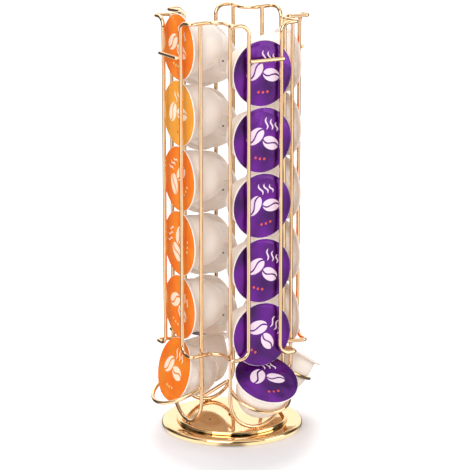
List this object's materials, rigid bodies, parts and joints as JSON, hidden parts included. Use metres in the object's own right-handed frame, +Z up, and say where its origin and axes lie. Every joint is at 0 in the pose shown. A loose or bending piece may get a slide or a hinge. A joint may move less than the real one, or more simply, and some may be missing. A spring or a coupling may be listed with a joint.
{
  "type": "coffee capsule dispenser",
  "caption": "Revolving wire tower for coffee capsules: upright columns feed an open cradle at the foot, and the whole rack turns on a round base with a ball race.",
  "frame": {"origin": "the middle of the pad's underside, on the axis that the rack turns on", "axes": "+Z up along the turning axis; -Y out of the front column's lids, +X out of the right column's"},
  "size_m": [0.1551, 0.1632, 0.3548],
  "materials": {
    "gold_wire": "steel wire, gold plated and bright",
    "gold_plate": "pressed steel sheet, gold plated and polished",
    "bearing_steel": "ground bearing steel",
    "foam_pad": "black foam rubber",
    "nylon": "natural nylon",
    "capsule": "warm white moulded shell with a printed foil lid"
  },
  "bodies": {
    "base": {"base_disc": "gold_plate", "anti_slip_pad": "foam_pad", "lower_race": "bearing_steel", "pivot_rivet": "gold_plate"},
    "bearing": {"ball_cage": "nylon", "bearing_ball_1": "bearing_steel", "bearing_ball_2": "bearing_steel", "bearing_ball_3": "bearing_steel", "bearing_ball_4": "bearing_steel", "bearing_ball_5": "bearing_steel", "bearing_ball_6": "bearing_steel", "bearing_ball_7": "bearing_steel", "bearing_ball_8": "bearing_steel"},
    "carousel": {"turntable_plate": "gold_plate", "upper_race": "bearing_steel", "front_guide_wire": "gold_wire", "front_cross_bar": "gold_wire", "front_cradle_hoop": "gold_wire", "front_corner_loop": "gold_wire", "front_corner_brace": "gold_wire", "right_guide_wire": "gold_wire", "right_cross_bar": "gold_wire", "right_cradle_hoop": "gold_wire", "right_corner_loop": "gold_wire", "right_corner_brace": "gold_wire", "back_guide_wire": "gold_wire", "back_cross_bar": "gold_wire", "back_cradle_hoop": "gold_wire", "back_corner_loop": "gold_wire", "back_corner_brace": "gold_wire", "left_guide_wire": "gold_wire", "left_cross_bar": "gold_wire", "left_cradle_hoop": "gold_wire", "left_corner_loop": "gold_wire", "left_corner_brace": "gold_wire", "front_capsule_6": "capsule", "right_capsule_6": "capsule", "back_capsule_6": "capsule", "left_capsule_6": "capsule"},
    "front_stack": {"front_capsule_1": "capsule", "front_capsule_2": "capsule", "front_capsule_3": "capsule", "front_capsule_4": "capsule", "front_capsule_5": "capsule"},
    "right_stack": {"right_capsule_1": "capsule", "right_capsule_2": "capsule", "right_capsule_3": "capsule", "right_capsule_4": "capsule", "right_capsule_5": "capsule"},
    "back_stack": {"back_capsule_1": "capsule", "back_capsule_2": "capsule", "back_capsule_3": "capsule", "back_capsule_4": "capsule", "back_capsule_5": "capsule"},
    "left_stack": {"left_capsule_1": "capsule", "left_capsule_2": "capsule", "left_capsule_3": "capsule", "left_capsule_4": "capsule", "left_capsule_5": "capsule"}
  },
  "joints": [
    {"name": "carousel_spin", "type": "hinge", "parent": "base", "child": "carousel", "pos_m": [0, 0, 0], "axis": [0, 0, 1], "continuous": true},
    {"name": "bearing_spin", "type": "hinge", "parent": "base", "child": "bearing", "pos_m": [0, 0, 0], "axis": [0, 0, 1], "continuous": true},
    {"name": "front_stack_lift", "type": "slide", "parent": "carousel", "child": "front_stack", "axis": [0, 0, 1], "range_m": [0, 0.3]},
    {"name": "right_stack_lift", "type": "slide", "parent": "carousel", "child": "right_stack", "axis": [0, 0, 1], "range_m": [0, 0.3]},
    {"name": "back_stack_lift", "type": "slide", "parent": "carousel", "child": "back_stack", "axis": [0, 0, 1], "range_m": [0, 0.3]},
    {"name": "left_stack_lift", "type": "slide", "parent": "carousel", "child": "left_stack", "axis": [0, 0, 1], "range_m": [0, 0.3]}
  ],
  "couplings": [
    {"joint": "bearing_spin", "follows": "carousel_spin", "ratio": 0.5}
  ]
}
